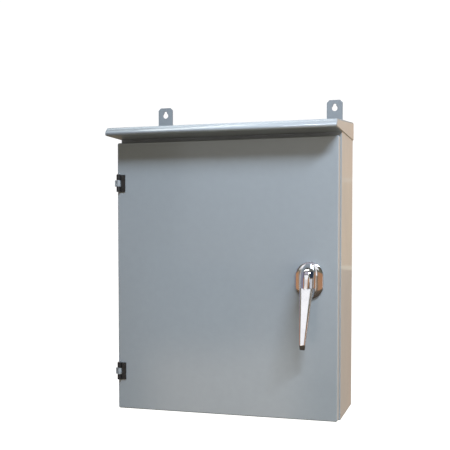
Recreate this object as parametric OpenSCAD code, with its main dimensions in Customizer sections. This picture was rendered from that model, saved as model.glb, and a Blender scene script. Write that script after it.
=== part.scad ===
// Automatic transfer switch in a wall-mounted sheet-steel enclosure with a rain hood.
// Frame: +Z up, the front faces -Y, the wall is the plane Y = 0, and the origin lies
// midway between the two keyholes of the mounting ears. Inside the modules heights are
// measured from the underside of the body, and place() moves every piece to that frame.

/* [Enclosure] */
// Outside width of the body
body_w = 500; // [490:5:520]
// Height of the body, under the roof of the hood
body_h = 620; // [616:2:626]
// Distance from the wall to the face of the closed door
door_y = 200; // [200:1:212]
// Thickness of the body, door and hood sheet
sheet = 2; // [1.5:0.5:2]
// Width of the front opening
opening_w = 440; // [436:2:444]
// Height of the front opening
opening_h = 540; // [530:5:544]
// How far the rain lip stands out around the front opening
rain_lip = 14; // [10:1:15]

/* [Door] */
// Width of the door
door_w = 496; // [492:1:497]
// Height of the door
door_h = 596; // [590:1:598]
// Depth of the folded edge of the door
door_fold = 25; // [20:1:25]

/* [Rain hood] */
// How far the hood stands out in front of the door
hood_overhang = 58; // [30:1:70]
// Height of the hood's soffit above the underside of the body
hood_soffit_z = 610; // [606:1:612]
// Height of the inclined front lip
hood_lip = 14; // [10:1:16]
// Rise of the roof from the front lip to the back
hood_rise = 24; // [18:1:40]

/* [Mounting ears] */
// Distance between the two keyholes
ear_spacing = 416; // [380:2:430]
// Height of the keyholes above the underside of the body
ear_hole_z = 685; // [680:1:700]
// Width of an ear
ear_w = 37; // [30:1:40]
// Thickness of an ear
ear_t = 3; // [2.5:0.5:4]
// Radius of the keyhole
ear_hole_r = 6.5; // [5:0.5:7]

/* [Handle] */
// Distance of the spindle from the middle of the door
handle_x = 188; // [182:1:189]
// Height of the spindle below the middle of the door
handle_drop = 3; // [0:1:40]
// Length of the lever from the spindle to its tip
lever_len = 141; // [120:1:160]
// Angle at which the lever hangs away from upright when it is locked, in degrees
lever_lean = 2; // [0:0.5:3]
// How far the hub stands out from the door
hub_out = 38; // [34:1:42]
// Width of the oval rose
rose_w = 60; // [52:1:64]
// Height of the oval rose
rose_h = 79; // [70:1:84]

/* [Hinges] */
// Height of a hinge
hinge_h = 38; // [36:1:50]
// Distance from the top of the door to the middle of the upper hinge
upper_hinge_inset = 90; // [70:1:120]
// Distance from the bottom of the door to the middle of the lower hinge
lower_hinge_inset = 85; // [70:1:120]
// Radius of the hinge pin
hinge_pin_r = 2.5; // [2:0.25:3]

/* [Transfer switch] */
// Distance between neighbouring poles
pole_pitch = 56; // [54:1:56]
// Height of the main shaft above the underside of the body
shaft_z = 330; // [325:1:335]
// Radius of the main shaft
shaft_r = 6; // [5.5:0.25:6.5]
// Half of the swing between the normal and the emergency source, in degrees
half_swing = 12; // [8:1:13]

/* [Hidden] */
$fn = 48;

// Running clearance between a shaft and its bore, and between faces that slide
run_gap = 0.05;
face_gap = 0.3;

// Body
half_w = body_w / 2;
back_y = -ear_t;
inner_back_y = back_y - sheet;
front_y = -(door_y - door_fold - sheet);
opening_z = 30;
gland_w = 300;
gland_d = 90;
gland_y = -92;
gland_flange = 18;
gasket_t = 1.5;

// Door, measured from the underside of the body
door_z = 2;
door_top_z = door_z + door_h;
door_face_y = -door_y;
door_inner_y = door_face_y + sheet;
lip_front_y = front_y - rain_lip;

// Hinges
knuckle_r = 4.5;
mid_knuckle_r = 3.8;
mid_knuckle_h = 14;
leaf_t = 2.3;
hinge_x = -door_w / 2 + knuckle_r;
hinge_y = door_face_y - knuckle_r - 0.5;
door_leaf_w = 19;
frame_leaf_l = 45;
frame_leaf_y = door_face_y + 30;
upper_hinge_z = door_top_z - upper_hinge_inset;
lower_hinge_z = door_z + lower_hinge_inset;

// Handle
handle_z = door_z + door_h / 2 - handle_drop;
seal_t = 1;
rose_t = 7;
bush_r = 11;
spindle_r = 5;
head_w = 28;
head_top = 37;
head_drop = 14.5;
head_shoulder = 8;
head_top_t = 9;
lever_root_w = 27;
lever_mid_w = 20;
lever_tip_w = 11.5;
lever_t = 9;
lever_tilt = 9.5;
cam_y = front_y + sheet + 4;
cam_t = 4;
cam_reach = opening_w / 2 - handle_x - 2.5;

// Mounting plate
plate_w = 430;
plate_h = 530;
plate_t = 2.5;
plate_back_y = -25;
plate_y = plate_back_y - plate_t;
plate_z = 35;
stud_x = 200;
stud_r = 4;

// Transfer switch
shaft_y = -95;
base_w = 260;
base_h = 240;
base_t = 18;
base_y = plate_y - base_t;
pole_count = 4;
blade_x = -8;
blade_w = 14;
blade_t = 4;
blade_l = 60;
pad_z = 52;
pad_h = 14;
terminal_t = 6;
terminal_z = 106;
load_x = 11;
load_w = 12;
bracket_x = 122;
bracket_t = 4;
bush_out_r = 9;
barrier_t = 3;
lever_x = -152;
crank_x = 150;
crank_w = 8;
crank_r = 38;
crank_pin_r = 3;
plunger_x = 167;
plunger_y = shaft_y - crank_r * cos(half_swing);
plunger_pin_z = shaft_z + crank_r * sin(half_swing);
plunger_r = 9;
coil_z = 229;
coil_h = 72;

// Control gear
rail_z = 505;
rail_y = plate_y - 7.5;
breaker_x = -185;
breaker_w = 52.5;
toggle_y = -88;
toggle_r = 8;
panel_y = -110;
panel_t = 3;
panel_x = [125, 205];
selector_x = 147;
button_x = 183;
control_z = 512;
bar_z = 150;

// --- helpers ---

module place() {
    translate([0, 0, -ear_hole_z]) children();
}

// A block between two opposite corners
module block(low, high) {
    translate(low) cube(high - low);
}

module rod_x(x0, x1, y, z, r) {
    translate([x0, y, z]) rotate([0, 90, 0]) cylinder(h = x1 - x0, r = r);
}

module rod_y(x, y0, y1, z, r) {
    translate([x, y1, z]) rotate([90, 0, 0]) cylinder(h = y1 - y0, r = r);
}

module rod_z(x, y, z0, z1, r) {
    translate([x, y, z0]) cylinder(h = z1 - z0, r = r);
}

module hex_y(x, y0, y1, z, r) {
    translate([x, y1, z]) rotate([90, 0, 0]) cylinder(h = y1 - y0, r = r, $fn = 6);
}

// An outline drawn in X and Z, as seen from the front, extruded from y0 to y1
module slab_y(y0, y1) {
    translate([0, y1, 0]) rotate([90, 0, 0]) linear_extrude(y1 - y0) children();
}

// An outline drawn in Y and Z, extruded from x0 to x1
module slab_x(x0, x1) {
    translate([x0, 0, 0]) rotate([90, 0, 90]) linear_extrude(x1 - x0) children();
}

// A rectangular tube around the front opening: its inner edge, thickness and span in Y
module frame_ring(width, height, thick, y0, y1) {
    mid_z = opening_z + opening_h / 2;
    difference() {
        block([-width / 2 - thick, y0, mid_z - height / 2 - thick],
              [width / 2 + thick, y1, mid_z + height / 2 + thick]);
        block([-width / 2, y0 - 1, mid_z - height / 2], [width / 2, y1 + 1, mid_z + height / 2]);
    }
}

function pole_x(i) = (i - (pole_count - 1) / 2) * pole_pitch;
function both_sides(d) = [-d, d];

// --- enclosure ---

module enclosure_body() {
    color("lightsteelblue") place() difference() {
        union() {
            difference() {
                block([-half_w, front_y, 0], [half_w, back_y, body_h]);
                block([-half_w + sheet, front_y + sheet, sheet],
                      [half_w - sheet, inner_back_y, body_h - sheet]);
                block([-opening_w / 2, front_y - 1, opening_z],
                      [opening_w / 2, front_y + sheet + 1, opening_z + opening_h]);
            }
            frame_ring(opening_w, opening_h, sheet, lip_front_y, front_y);
        }
        gland_opening();
        for (x = both_sides(ear_spacing / 2), z = ear_bolt_heights)
            rod_y(x, inner_back_y - 1, back_y + 1, z, stud_r);
    }
}

module gland_opening() {
    block([-gland_w / 2, gland_y - gland_d / 2, -1],
          [gland_w / 2, gland_y + gland_d / 2, sheet + 1]);
}

// Side outline of the hood: soffit, inclined lip, sloping roof and back
hood_front_y = -(door_y + hood_overhang);
hood_lip_y = hood_front_y + hood_lip;
hood_lip_z = hood_soffit_z + hood_lip;
hood_outline = [
    [hood_front_y, hood_soffit_z],
    [hood_lip_y, hood_lip_z],
    [back_y, hood_lip_z + hood_rise],
    [back_y, hood_soffit_z]
];

module rain_hood() {
    slope = hood_rise / (back_y - hood_lip_y);
    color("lightsteelblue") place() {
        difference() {
            slab_x(-half_w - sheet, half_w + sheet) polygon(hood_outline);
            slab_x(-half_w, half_w) polygon([
                [hood_front_y + 2.4 * sheet, hood_soffit_z + sheet],
                [hood_lip_y + sheet / 2, hood_lip_z - sheet],
                [back_y - sheet, hood_lip_z - sheet + slope * (back_y - sheet - hood_lip_y)],
                [back_y - sheet, body_h],
                [front_y, body_h],
                [front_y, hood_soffit_z + sheet]
            ]);
            block([-half_w, front_y, hood_soffit_z - 1], [half_w, back_y + 1, body_h]);
        }
    }
}

ear_bottom_z = 560;
ear_top_z = 704;
ear_chamfer = 6;
ear_bolt_heights = [575, 600];
keyhole_slot_w = 7;
keyhole_slot_l = 10.5;

module mounting_ear(x) {
    difference() {
        slab_y(back_y, 0) translate([x, 0]) polygon([
            [-ear_w / 2, ear_bottom_z],
            [ear_w / 2, ear_bottom_z],
            [ear_w / 2, ear_top_z - ear_chamfer],
            [ear_w / 2 - ear_chamfer, ear_top_z],
            [-ear_w / 2 + ear_chamfer, ear_top_z],
            [-ear_w / 2, ear_top_z - ear_chamfer]
        ]);
        rod_y(x, back_y - 1, 1, ear_hole_z, ear_hole_r);
        rod_y(x, back_y - 1, 1, ear_hole_z + keyhole_slot_l - keyhole_slot_w / 2, keyhole_slot_w / 2);
        block([x - keyhole_slot_w / 2, back_y - 1, ear_hole_z],
              [x + keyhole_slot_w / 2, 1, ear_hole_z + keyhole_slot_l - keyhole_slot_w / 2]);
        for (z = ear_bolt_heights) rod_y(x, back_y - 1, 1, z, stud_r);
    }
}

module mounting_ear_left() {
    color("lightslategray") place() mounting_ear(-ear_spacing / 2);
}

module mounting_ear_right() {
    color("lightslategray") place() mounting_ear(ear_spacing / 2);
}

module ear_bolts() {
    head_t = 5.3;
    color("silver") place() for (x = both_sides(ear_spacing / 2), z = ear_bolt_heights) {
        rod_y(x, inner_back_y, -0.4, z, stud_r);
        hex_y(x, inner_back_y - head_t, inner_back_y, z, 7.5);
    }
}

// --- gland plate in the underside ---

grommet_x = [-95, 0, 95];
grommet_bore_r = 15;
grommet_neck_r = 20;
grommet_flange_r = 25;
gland_plate_z = sheet + gasket_t;
gland_screw_x = [-150, 0, 150];

module gland_outline(z0, z1) {
    block([-gland_w / 2 - gland_flange, gland_y - gland_d / 2 - gland_flange, z0],
          [gland_w / 2 + gland_flange, gland_y + gland_d / 2 + gland_flange, z1]);
}

module each_gland_screw() {
    for (x = gland_screw_x, side = [-1, 1])
        translate([x, gland_y + side * (gland_d / 2 + gland_flange / 2), 0]) children();
}

module gland_plate() {
    color("silver") place() difference() {
        gland_outline(gland_plate_z, gland_plate_z + sheet);
        for (x = grommet_x) rod_z(x, gland_y, 0, 10, grommet_neck_r);
        each_gland_screw() rod_z(0, 0, 0, 10, 2.5);
    }
}

module gland_gasket() {
    color("dimgray") place() difference() {
        gland_outline(sheet, gland_plate_z);
        translate([0, 0, sheet]) gland_opening();
        each_gland_screw() rod_z(0, 0, 0, 10, 2.5);
    }
}

module gland_screws() {
    color("silver") place() each_gland_screw() {
        rod_z(0, 0, sheet, gland_plate_z + sheet, 2.5);
        rod_z(0, 0, gland_plate_z + sheet, gland_plate_z + sheet + 3, 4.5);
    }
}

module cable_grommets() {
    flange_t = 3;
    color("dimgray") place() for (x = grommet_x) difference() {
        union() {
            rod_z(x, gland_y, gland_plate_z - flange_t, gland_plate_z, grommet_flange_r);
            rod_z(x, gland_y, gland_plate_z, gland_plate_z + sheet, grommet_neck_r);
            rod_z(x, gland_y, gland_plate_z + sheet, gland_plate_z + sheet + flange_t, grommet_flange_r);
        }
        rod_z(x, gland_y, -1, gland_plate_z + 9, grommet_bore_r);
    }
}

// --- hinges ---

end_knuckle_h = (hinge_h - mid_knuckle_h) / 2 - face_gap;

// The half on the body: the middle knuckle, a tongue round the edge of the door and a side plate
module hinge_frame_leaf(z) {
    tongue_low = z - mid_knuckle_h / 2;
    tongue_high = z + mid_knuckle_h / 2;
    leaf_x = -half_w - leaf_t;
    color("lightsteelblue") place() difference() {
        union() {
            rod_z(hinge_x, hinge_y, tongue_low, tongue_high, mid_knuckle_r);
            block([leaf_x, hinge_y, tongue_low], [hinge_x, hinge_y + leaf_t, tongue_high]);
            block([leaf_x, hinge_y, tongue_low], [-half_w, frame_leaf_y + 1, tongue_high]);
            block([leaf_x, frame_leaf_y, z - hinge_h / 2],
                  [-half_w, frame_leaf_y + frame_leaf_l, z + hinge_h / 2]);
        }
        rod_z(hinge_x, hinge_y, tongue_low - 1, tongue_high + 1, hinge_pin_r);
        each_frame_screw(z) rod_x(leaf_x - 1, -half_w + 1, 0, 0, 2.5);
    }
}

module each_frame_screw(z) {
    for (y = [frame_leaf_y + 10, frame_leaf_y + frame_leaf_l - 10])
        translate([0, y, z]) children();
}

module upper_hinge_frame_leaf() {
    hinge_frame_leaf(upper_hinge_z);
}

module lower_hinge_frame_leaf() {
    hinge_frame_leaf(lower_hinge_z);
}

module hinge_pins() {
    head_t = 1.5;
    color("darkgray") place() for (z = [lower_hinge_z, upper_hinge_z]) {
        rod_z(hinge_x, hinge_y, z - hinge_h / 2, z + hinge_h / 2, hinge_pin_r);
        rod_z(hinge_x, hinge_y, z + hinge_h / 2, z + hinge_h / 2 + face_gap, hinge_pin_r);
        rod_z(hinge_x, hinge_y, z + hinge_h / 2 + face_gap, z + hinge_h / 2 + head_t, knuckle_r - 1);
    }
}

module hinge_frame_screws() {
    leaf_x = -half_w - leaf_t;
    color("dimgray") place() for (z = [lower_hinge_z, upper_hinge_z]) each_frame_screw(z) {
        rod_x(leaf_x, -half_w, 0, 0, 2.5);
        rod_x(leaf_x - 2, leaf_x, 0, 0, 4.5);
    }
}

// The half on the door: two end knuckles that turn on the pin, and a plate on the face
module hinge_door_leaf(z) {
    low = z - hinge_h / 2;
    high = z + hinge_h / 2;
    plate_x = hinge_x + knuckle_r + face_gap;
    plate_y = door_face_y - leaf_t;
    color("dimgray") place() difference() {
        union() {
            for (start = [low, high - end_knuckle_h]) {
                rod_z(hinge_x, hinge_y, start, start + end_knuckle_h, knuckle_r);
                block([hinge_x, plate_y, start], [plate_x + 1, door_face_y, start + end_knuckle_h]);
            }
            block([plate_x, plate_y, low], [-door_w / 2 + door_leaf_w, door_face_y, high]);
        }
        rod_z(hinge_x, hinge_y, low - 1, high + 1, hinge_pin_r + run_gap);
        each_door_screw(z) rod_y(0, -leaf_t - 1, 1, 0, door_screw_r);
    }
}

door_screw_r = 1.6;

module each_door_screw(z) {
    for (dz = both_sides(hinge_h / 2 - 8))
        translate([-door_w / 2 + door_leaf_w - 4.2, door_face_y, z + dz]) children();
}

module upper_hinge_door_leaf() {
    hinge_door_leaf(upper_hinge_z);
}

module lower_hinge_door_leaf() {
    hinge_door_leaf(lower_hinge_z);
}

module hinge_door_screws() {
    color("dimgray") place() for (z = [lower_hinge_z, upper_hinge_z]) each_door_screw(z) {
        rod_y(0, -leaf_t, sheet, 0, door_screw_r);
        rod_y(0, -leaf_t - 1.2, -leaf_t, 0, 2 * door_screw_r);
        rod_y(0, sheet, sheet + 3, 0, 2 * door_screw_r);
    }
}

// --- door ---

module door() {
    color("lightsteelblue") place() difference() {
        block([-door_w / 2, door_face_y, door_z], [door_w / 2, door_face_y + door_fold, door_top_z]);
        block([-door_w / 2 + sheet, door_inner_y, door_z + sheet],
              [door_w / 2 - sheet, door_face_y + door_fold + 1, door_top_z - sheet]);
        rod_y(handle_x, door_face_y - 1, door_inner_y + 1, handle_z, bush_r);
        for (z = [lower_hinge_z, upper_hinge_z]) each_door_screw(z) rod_y(0, -1, sheet + 1, 0, door_screw_r);
    }
}

module door_gasket() {
    gasket_w = 10;
    color("dimgray") place()
        frame_ring(opening_w - gasket_w / 2, opening_h - gasket_w / 2, gasket_w,
                   door_inner_y, lip_front_y - face_gap);
}

// --- handle ---

module rose_outline(grow) {
    r = rose_w / 2 + grow;
    straight = (rose_h - rose_w) / 2;
    translate([handle_x, handle_z + straight]) circle(r);
    translate([handle_x, handle_z - straight]) circle(r);
    translate([handle_x - r, handle_z - straight]) square([2 * r, 2 * straight]);
}

seal_y = door_face_y - seal_t;
rose_y = seal_y - rose_t;
hub_y = door_face_y - hub_out;

module handle_rose() {
    color("silver") place() difference() {
        union() {
            slab_y(rose_y, seal_y) rose_outline(0);
            rod_y(handle_x, seal_y, door_inner_y + 10, handle_z, bush_r);
        }
        rod_y(handle_x, rose_y - 1, door_inner_y + 11, handle_z, spindle_r + run_gap);
    }
}

module handle_seal() {
    color("dimgray") place() difference() {
        slab_y(seal_y, door_face_y) rose_outline(-0.5);
        rod_y(handle_x, seal_y - 1, door_face_y + 1, handle_z, bush_r);
    }
}

module handle_back_nut() {
    color("silver") place() difference() {
        hex_y(handle_x, door_inner_y, door_inner_y + 7, handle_z, 18);
        rod_y(handle_x, door_inner_y - 1, door_inner_y + 8, handle_z, bush_r);
    }
}

// Front outline of the lever's head: straight sides and a round top
module head_outline() {
    translate([0, head_top - head_w / 2]) circle(head_w / 2);
    translate([-head_w / 2, -head_drop]) square([head_w, head_drop + head_top - head_w / 2]);
}

// Side outline of the head: its face slopes back to the rose above the spindle
head_back_y = rose_y - face_gap;
head_profile = [
    [hub_y, -head_drop],
    [hub_y, head_shoulder],
    [head_back_y - head_top_t, head_top + 1],
    [head_back_y, head_top + 1],
    [head_back_y, -head_drop]
];

// Front outline of the lever below its head, drawn from its root at zero height
lever_outline = [
    [-lever_root_w / 2, 0],
    [-lever_mid_w / 2, -(lever_len - head_drop) * 0.55],
    [-lever_tip_w / 2, head_drop - lever_len],
    [lever_tip_w / 2, head_drop - lever_len],
    [lever_mid_w / 2, -(lever_len - head_drop) * 0.55],
    [lever_root_w / 2, 0]
];

module handle_lever() {
    color("silver") place() difference() {
        translate([handle_x, 0, handle_z]) rotate([0, lever_lean, 0]) {
            intersection() {
                slab_y(hub_y, head_back_y) head_outline();
                slab_x(-head_w, head_w) polygon(head_profile);
            }
            translate([0, hub_y + lever_t, -head_drop]) rotate([-lever_tilt, 0, 0])
                slab_y(-lever_t, 0) polygon(lever_outline);
        }
        rod_y(handle_x, hub_y + 8, rose_y + 1, handle_z, spindle_r);
    }
}

module handle_spindle() {
    color("gray") place() rod_y(handle_x, hub_y + 8, cam_y + cam_t + 7, handle_z, spindle_r);
}

module latch_cam() {
    tongue_w = 20;
    color("silver") place() difference() {
        union() {
            rod_y(handle_x, cam_y, cam_y + cam_t, handle_z, 13);
            block([handle_x, cam_y, handle_z - tongue_w / 2],
                  [handle_x + cam_reach, cam_y + cam_t, handle_z + tongue_w / 2]);
        }
        rod_y(handle_x, cam_y - 1, cam_y + cam_t + 1, handle_z, spindle_r);
    }
}

module cam_nut() {
    color("silver") place() difference() {
        hex_y(handle_x, cam_y + cam_t, cam_y + cam_t + 6, handle_z, 9.2);
        rod_y(handle_x, cam_y + cam_t - 1, cam_y + cam_t + 7, handle_z, spindle_r);
    }
}

// --- mounting plate ---

module each_stud() {
    for (x = both_sides(stud_x), z = [plate_z + 15, plate_z + plate_h - 15])
        translate([x, 0, z]) children();
}

module mounting_plate() {
    color("gainsboro") place() difference() {
        block([-plate_w / 2, plate_y, plate_z], [plate_w / 2, plate_back_y, plate_z + plate_h]);
        each_stud() rod_y(0, plate_y - 1, plate_back_y + 1, 0, stud_r);
    }
}

module plate_studs() {
    color("silver") place() each_stud() {
        rod_y(0, plate_back_y, inner_back_y, 0, 2 * stud_r);
        rod_y(0, plate_y - 10, plate_back_y, 0, stud_r);
    }
}

module plate_nuts() {
    color("silver") place() each_stud() difference() {
        hex_y(0, plate_y - 6.5, plate_y, 0, 7.5);
        rod_y(0, plate_y - 8, plate_y + 1, 0, stud_r);
    }
}

// --- transfer switch: fixed pieces ---

// Moves its children to the shaft's axis, once for each pole
module each_pole() {
    for (i = [0 : pole_count - 1]) translate([pole_x(i), shaft_y, shaft_z]) children();
}

// Draws its children above the shaft, and again mirrored below it
module normal_side() {
    children();
}

module emergency_side() {
    mirror([0, 0, 1]) children();
}

base_top = base_y - shaft_y;

module switch_base() {
    color("darkslategray") place() difference() {
        block([-base_w / 2, base_y, shaft_z - base_h / 2], [base_w / 2, plate_y, shaft_z + base_h / 2]);
        for (i = [0 : pole_count])
            block([pole_x(i) - pole_pitch / 2 - 3, base_y - 1, shaft_z + base_h / 2 - 20],
                  [pole_x(i) - pole_pitch / 2 + 3, base_y + 8, shaft_z + base_h / 2 + 1]);
    }
}

module shaft_brackets() {
    foot = 11;
    height = 44;
    for (side = [-1, 1]) {
        inner = side * (bracket_x - bracket_t / 2);
        outer = side * (bracket_x + bracket_t / 2);
        color("silver") place() difference() {
            union() {
                block([min(inner, outer), shaft_y - 16, shaft_z - height / 2],
                      [max(inner, outer), base_y, shaft_z + height / 2]);
                block([min(inner, inner - side * foot), base_y - bracket_t, shaft_z - height / 2],
                      [max(inner, inner - side * foot), base_y, shaft_z + height / 2]);
            }
            rod_x(-200, 200, shaft_y, shaft_z, bush_out_r);
        }
    }
}

module shaft_bushes() {
    color("peru") place() for (x = both_sides(bracket_x)) difference() {
        rod_x(x - 4, x + 4, shaft_y, shaft_z, bush_out_r);
        rod_x(x - 5, x + 5, shaft_y, shaft_z, shaft_r + run_gap);
    }
}

// One fixed contact: a post with a tilted pad under the blade, and its terminal
module fixed_contact() {
    pad_y = pad_z * tan(half_swing) + blade_t / 2 / cos(half_swing) + face_gap;
    low = pad_z - pad_h / 2;
    high = pad_z + pad_h / 2;
    difference() {
        union() {
            slab_x(blade_x - blade_w / 2, blade_x + blade_w / 2) polygon([
                [pad_y - pad_h / 2 * tan(half_swing), low],
                [pad_y + pad_h / 2 * tan(half_swing), high],
                [base_top, high],
                [base_top, low]
            ]);
            block([blade_x - blade_w / 2, base_top - terminal_t, high],
                  [blade_x + blade_w / 2, base_top, terminal_z + 10]);
        }
        rod_y(blade_x, base_top - terminal_t - 1, base_top + 1, terminal_z, 3);
    }
}

module normal_contacts() {
    color("peru") place() each_pole() normal_side() fixed_contact();
}

module emergency_contacts() {
    color("peru") place() each_pole() emergency_side() fixed_contact();
}

disc_r = 16;
jaw_x = load_x + 6;
jaw_t = 4;

module load_terminals() {
    color("peru") place() each_pole() difference() {
        union() {
            block([jaw_x, -14, -14], [jaw_x + jaw_t, base_top, 14]);
            block([load_x, base_top - terminal_t, -terminal_z - 10],
                  [load_x + load_w, base_top, 14]);
        }
        rod_x(jaw_x - 1, jaw_x + jaw_t + 1, 0, 0, shaft_r + 2);
        rod_y(load_x + load_w / 2, base_top - terminal_t - 1, base_top + 1, -terminal_z, 3);
    }
}

module terminal_screw() {
    head_y = base_top - terminal_t;
    rod_y(0, head_y, base_top, 0, 3);
    difference() {
        rod_y(0, head_y - 4, head_y, 0, 5.5);
        block([-4.5, head_y - 5, -0.6], [4.5, head_y - 2.5, 0.6]);
    }
}

module bar_screws() {
    bars = [[neutral_x, neutral_front_y], [ground_x, ground_front_y]];
    for (bar = bars) each_bar_screw(bar[0]) rod_y(0, bar[1] - 4, bar[1], bar_z, 3.5);
}

module terminal_screws() {
    color("silver") place() {
        each_pole() {
            translate([blade_x, 0, terminal_z]) terminal_screw();
            translate([blade_x, 0, -terminal_z]) terminal_screw();
            translate([load_x + load_w / 2, 0, -terminal_z]) terminal_screw();
        }
        bar_screws();
    }
}

module phase_barriers() {
    color("darkred") place() for (i = [1 : pole_count - 1]) {
        x = pole_x(i) - pole_pitch / 2;
        difference() {
            block([x - barrier_t / 2, shaft_y - 26, shaft_z - base_h / 2 + 4],
                  [x + barrier_t / 2, base_y, shaft_z + base_h / 2 - 24]);
            rod_x(x - barrier_t, x + barrier_t, shaft_y, shaft_z, shaft_r + 4);
        }
    }
}

// One arc chute: a box over the contact's end, cut by slots between its splitter plates
module arc_chute() {
    low = [blade_x - 12, -23, 66];
    high = [blade_x + 12, base_top - terminal_t - 1, 92];
    slots = 4;
    pitch = (high[1] - low[1]) / (slots + 1);
    difference() {
        block(low, high);
        for (i = [1 : slots])
            block([low[0] + 2.5, low[1] + i * pitch - 2, low[2] - 1],
                  [high[0] - 2.5, low[1] + i * pitch + 2, high[2] - 3]);
    }
    block([low[0], high[1], low[2]], [low[0] + 3, base_top, high[2]]);
    block([high[0] - 3, high[1], low[2]], [high[0], base_top, high[2]]);
}

module arc_chutes() {
    color("tan") place() each_pole() {
        normal_side() arc_chute();
        emergency_side() arc_chute();
    }
}

// --- transfer switch: the rocking shaft ---

// Turns its children from square to the rest position on the normal source
module at_rest() {
    rotate([-half_swing, 0, 0]) children();
}

module main_shaft() {
    color("gray") place() rod_x(lever_x - 5, crank_x + crank_w + 2, shaft_y, shaft_z, shaft_r);
}

sleeve_r = 11;
sleeve_end = blade_x + 14;

// One insulating carrier: a block clamped on the shaft, hollowed for the blade and its sleeve
module contact_carriers() {
    half = 14;
    color("darkred") place() each_pole() at_rest() difference() {
        block([blade_x - half, -half, -half], [sleeve_end, half, half]);
        rod_x(blade_x - half - 1, sleeve_end + 1, 0, 0, shaft_r);
        rod_x(blade_x - blade_w / 2, sleeve_end + 1, 0, 0, sleeve_r);
        block([blade_x - blade_w / 2, -blade_t / 2, -half - 1],
              [blade_x + blade_w / 2, blade_t / 2, half + 1]);
    }
}

// One moving contact: a blade, the sleeve that carries it on the shaft, and a slip disc
module moving_contacts() {
    color("peru") place() each_pole() at_rest() difference() {
        union() {
            block([blade_x - blade_w / 2, -blade_t / 2, -blade_l],
                  [blade_x + blade_w / 2, blade_t / 2, blade_l]);
            rod_x(blade_x - blade_w / 2, sleeve_end, 0, 0, sleeve_r);
            rod_x(sleeve_end, jaw_x - face_gap, 0, 0, disc_r);
        }
        rod_x(blade_x - blade_w, jaw_x + 1, 0, 0, shaft_r);
    }
}

module shaft_crank() {
    color("silver") place() translate([0, shaft_y, shaft_z]) at_rest() difference() {
        union() {
            rod_x(crank_x, crank_x + crank_w, 0, 0, 12);
            block([crank_x, -crank_r, -7], [crank_x + crank_w, 0, 7]);
            rod_x(crank_x, crank_x + crank_w, -crank_r, 0, 7);
            rod_x(crank_x + crank_w, plunger_x + 8, -crank_r, 0, crank_pin_r);
        }
        rod_x(crank_x - 1, crank_x + crank_w + 1, 0, 0, shaft_r);
    }
}

module manual_lever() {
    reach = 62;
    color("crimson") place() translate([0, shaft_y, shaft_z]) at_rest() difference() {
        union() {
            rod_x(lever_x - 4, lever_x + 4, 0, 0, 12);
            block([lever_x - 3, -reach, -6], [lever_x + 3, 0, 6]);
            rod_x(lever_x - 7, lever_x + 7, -reach, 0, 8);
        }
        rod_x(lever_x - 5, lever_x + 5, 0, 0, shaft_r);
    }
}

// --- solenoid ---

module solenoid_frame() {
    half_x = 27;
    half_y = 21.5;
    t = 3;
    low = coil_z - t - 1;
    high = coil_z + coil_h + 1 + t;
    left = plunger_x - half_x;
    right = plunger_x + half_x;
    front = plunger_y - half_y;
    back = plunger_y + half_y;
    color("silver") place() difference() {
        union() {
            block([left, plate_y - t, low - 10], [right, plate_y, high + 10]);
            block([left, front, low], [left + t, plate_y, high]);
            block([right - t, front, low], [right, back, high]);
            block([left, front, low], [right, back, low + t]);
            block([left, front, high - t], [right, back, high]);
        }
        rod_z(plunger_x, plunger_y, high - t - 1, high + 1, plunger_r + 0.6);
    }
}

module solenoid_coil() {
    bore_r = plunger_r + 0.6;
    color("darkgoldenrod") place() difference() {
        union() {
            rod_z(plunger_x, plunger_y, coil_z, coil_z + coil_h, 18);
            rod_z(plunger_x, plunger_y, coil_z, coil_z + 3, 21);
            rod_z(plunger_x, plunger_y, coil_z + coil_h - 3, coil_z + coil_h, 21);
        }
        rod_z(plunger_x, plunger_y, coil_z - 1, coil_z + coil_h + 1, bore_r);
    }
}

module solenoid_plunger() {
    yoke = [12, 24, 18];
    slot_h = 2 * crank_pin_r + 1;
    color("gray") place() difference() {
        union() {
            rod_z(plunger_x, plunger_y, plunger_pin_z - 92, plunger_pin_z - yoke[2] / 2, plunger_r);
            translate([plunger_x, plunger_y, plunger_pin_z]) cube(yoke, center = true);
        }
        translate([plunger_x, plunger_y, plunger_pin_z]) cube([20, 16, slot_h], center = true);
    }
}

// --- control gear on the upper rail ---

module din_rail() {
    rail_h = 35;
    inner_h = 27;
    left = -195;
    right = 118;
    color("gainsboro") place() {
        block([left, plate_y - 1, rail_z - inner_h / 2], [right, plate_y, rail_z + inner_h / 2]);
        for (side = [-1, 1]) {
            edge = rail_z + side * inner_h / 2;
            lip = rail_z + side * rail_h / 2;
            wall = edge - side * 1;
            block([left, rail_y, min(edge, wall)], [right, plate_y, max(edge, wall)]);
            block([left, rail_y, min(wall, lip)], [right, rail_y + 1, max(wall, lip)]);
        }
    }
}

module control_breaker() {
    poles = 3;
    module_w = breaker_w / poles;
    color("whitesmoke") place() difference() {
        union() {
            block([breaker_x, toggle_y + 18, rail_z - 43], [breaker_x + breaker_w, rail_y, rail_z + 43]);
            block([breaker_x, toggle_y + 2, rail_z - 22], [breaker_x + breaker_w, rail_y, rail_z + 22]);
        }
        rod_x(breaker_x + 4, breaker_x + breaker_w - 4, toggle_y + 6, rail_z, toggle_r + face_gap);
        for (i = [0 : poles - 1], side = [-1, 1])
            rod_y(breaker_x + module_w * (i + 0.5), toggle_y + 10, toggle_y + 30, rail_z + side * 34, 3.5);
    }
}

module breaker_toggle() {
    left = breaker_x + 4 + face_gap;
    right = breaker_x + breaker_w - 4 - face_gap;
    color("black") place() translate([0, toggle_y + 6, rail_z]) rotate([-30, 0, 0]) {
        rod_x(left, right, 0, 0, toggle_r);
        block([left + 2, -21, -3], [right - 2, -4, 3]);
    }
}

relay_x = [-118, -70];
relay_w = 38;

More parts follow.
